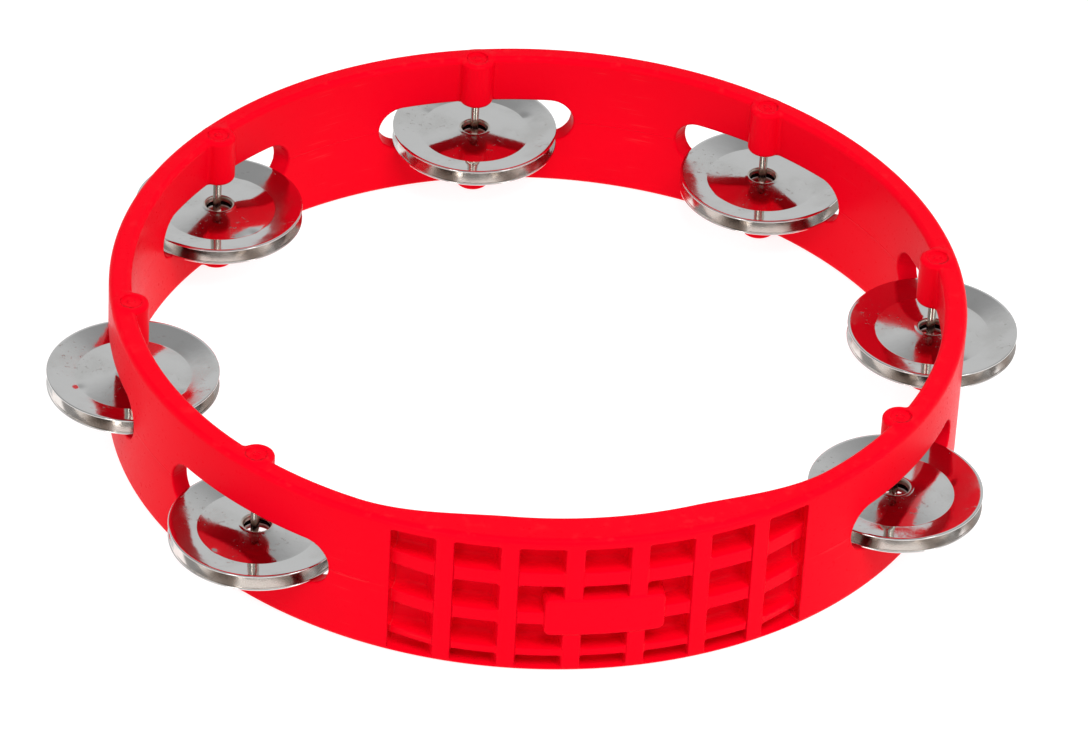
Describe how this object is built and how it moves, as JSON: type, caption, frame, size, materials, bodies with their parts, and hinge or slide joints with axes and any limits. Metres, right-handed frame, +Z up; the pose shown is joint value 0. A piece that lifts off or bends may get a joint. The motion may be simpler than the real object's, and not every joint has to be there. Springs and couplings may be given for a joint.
{
  "type": "tambourine",
  "caption": "Headless hand tambourine: a moulded plastic hoop with slots round it, each holding a pair of dished steel jingles loose on a nail, and a ribbed thick hand grip.",
  "frame": {"origin": "middle of the footprint of the hoop and jingles together, at the height of the bottom rim; the hoop's own axis is 7.8 mm from it, towards -Y", "axes": "+Z up along the hoop's axis, out of the top rim; -Y from the hoop's axis to the middle of the hand grip; +X to the right as seen from the grip"},
  "size_m": [0.2341, 0.2185, 0.0372],
  "materials": {
    "red_plastic": "satin moulded red",
    "jingle_steel": "bright nickel-plated steel",
    "nail_steel": "plain drawn steel"
  },
  "bodies": {
    "hoop": {"hoop": "red_plastic"},
    "pin_1": {"pin_1": "nail_steel"},
    "pin_2": {"pin_2": "nail_steel"},
    "pin_3": {"pin_3": "nail_steel"},
    "pin_4": {"pin_4": "nail_steel"},
    "pin_5": {"pin_5": "nail_steel"},
    "pin_6": {"pin_6": "nail_steel"},
    "pin_7": {"pin_7": "nail_steel"},
    "jingle_upper_1": {"jingle_upper_1": "jingle_steel"},
    "jingle_upper_2": {"jingle_upper_2": "jingle_steel"},
    "jingle_upper_3": {"jingle_upper_3": "jingle_steel"},
    "jingle_upper_4": {"jingle_upper_4": "jingle_steel"},
    "jingle_upper_5": {"jingle_upper_5": "jingle_steel"},
    "jingle_upper_6": {"jingle_upper_6": "jingle_steel"},
    "jingle_upper_7": {"jingle_upper_7": "jingle_steel"},
    "jingle_lower_1": {"jingle_lower_1": "jingle_steel"},
    "jingle_lower_2": {"jingle_lower_2": "jingle_steel"},
    "jingle_lower_3": {"jingle_lower_3": "jingle_steel"},
    "jingle_lower_4": {"jingle_lower_4": "jingle_steel"},
    "jingle_lower_5": {"jingle_lower_5": "jingle_steel"},
    "jingle_lower_6": {"jingle_lower_6": "jingle_steel"},
    "jingle_lower_7": {"jingle_lower_7": "jingle_steel"}
  },
  "joints": [
    {"name": "jingle_spin_1", "type": "hinge", "parent": "hoop", "child": "pin_1", "pos_m": [0, 0.0889, 0.01845], "axis": [0, 0, 1], "continuous": true},
    {"name": "pair_lift_1", "type": "slide", "parent": "pin_1", "child": "jingle_lower_1", "axis": [0, 0, 1], "range_m": [0, 0.0032]},
    {"name": "jingle_clash_1", "type": "slide", "parent": "jingle_lower_1", "child": "jingle_upper_1", "axis": [0, 0, 1], "range_m": [0, 0.0033]},
    {"name": "jingle_spin_2", "type": "hinge", "parent": "hoop", "child": "pin_2", "pos_m": [0.06814, 0.06082, 0.01845], "axis": [0, 0, 1], "continuous": true},
    {"name": "pair_lift_2", "type": "slide", "parent": "pin_2", "child": "jingle_lower_2", "axis": [0, 0, 1], "range_m": [0, 0.0032]},
    {"name": "jingle_clash_2", "type": "slide", "parent": "jingle_lower_2", "child": "jingle_upper_2", "axis": [0, 0, 1], "range_m": [0, 0.0033]},
    {"name": "jingle_spin_3", "type": "hinge", "parent": "hoop", "child": "pin_3", "pos_m": [0.0967, -0.00696, 0.01845], "axis": [0, 0, 1], "continuous": true},
    {"name": "pair_lift_3", "type": "slide", "parent": "pin_3", "child": "jingle_lower_3", "axis": [0, 0, 1], "range_m": [0, 0.0032]},
    {"name": "jingle_clash_3", "type": "slide", "parent": "jingle_lower_3", "child": "jingle_upper_3", "axis": [0, 0, 1], "range_m": [0, 0.0033]},
    {"name": "jingle_spin_4", "type": "hinge", "parent": "hoop", "child": "pin_4", "pos_m": [0.07483, -0.06905, 0.01845], "axis": [0, 0, 1], "continuous": true},
    {"name": "pair_lift_4", "type": "slide", "parent": "pin_4", "child": "jingle_lower_4", "axis": [0, 0, 1], "range_m": [0, 0.0032]},
    {"name": "jingle_clash_4", "type": "slide", "parent": "jingle_lower_4", "child": "jingle_upper_4", "axis": [0, 0, 1], "range_m": [0, 0.0033]},
    {"name": "jingle_spin_5", "type": "hinge", "parent": "hoop", "child": "pin_5", "pos_m": [-0.07483, -0.06905, 0.01845], "axis": [0, 0, 1], "continuous": true},
    {"name": "pair_lift_5", "type": "slide", "parent": "pin_5", "child": "jingle_lower_5", "axis": [0, 0, 1], "range_m": [0, 0.0032]},
    {"name": "jingle_clash_5", "type": "slide", "parent": "jingle_lower_5", "child": "jingle_upper_5", "axis": [0, 0, 1], "range_m": [0, 0.0033]},
    {"name": "jingle_spin_6", "type": "hinge", "parent": "hoop", "child": "pin_6", "pos_m": [-0.0967, -0.00696, 0.01845], "axis": [0, 0, 1], "continuous": true},
    {"name": "pair_lift_6", "type": "slide", "parent": "pin_6", "child": "jingle_lower_6", "axis": [0, 0, 1], "range_m": [0, 0.0032]},
    {"name": "jingle_clash_6", "type": "slide", "parent": "jingle_lower_6", "child": "jingle_upper_6", "axis": [0, 0, 1], "range_m": [0, 0.0033]},
    {"name": "jingle_spin_7", "type": "hinge", "parent": "hoop", "child": "pin_7", "pos_m": [-0.06814, 0.06082, 0.01845], "axis": [0, 0, 1], "continuous": true},
    {"name": "pair_lift_7", "type": "slide", "parent": "pin_7", "child": "jingle_lower_7", "axis": [0, 0, 1], "range_m": [0, 0.0032]},
    {"name": "jingle_clash_7", "type": "slide", "parent": "jingle_lower_7", "child": "jingle_upper_7", "axis": [0, 0, 1], "range_m": [0, 0.0033]}
  ]
}
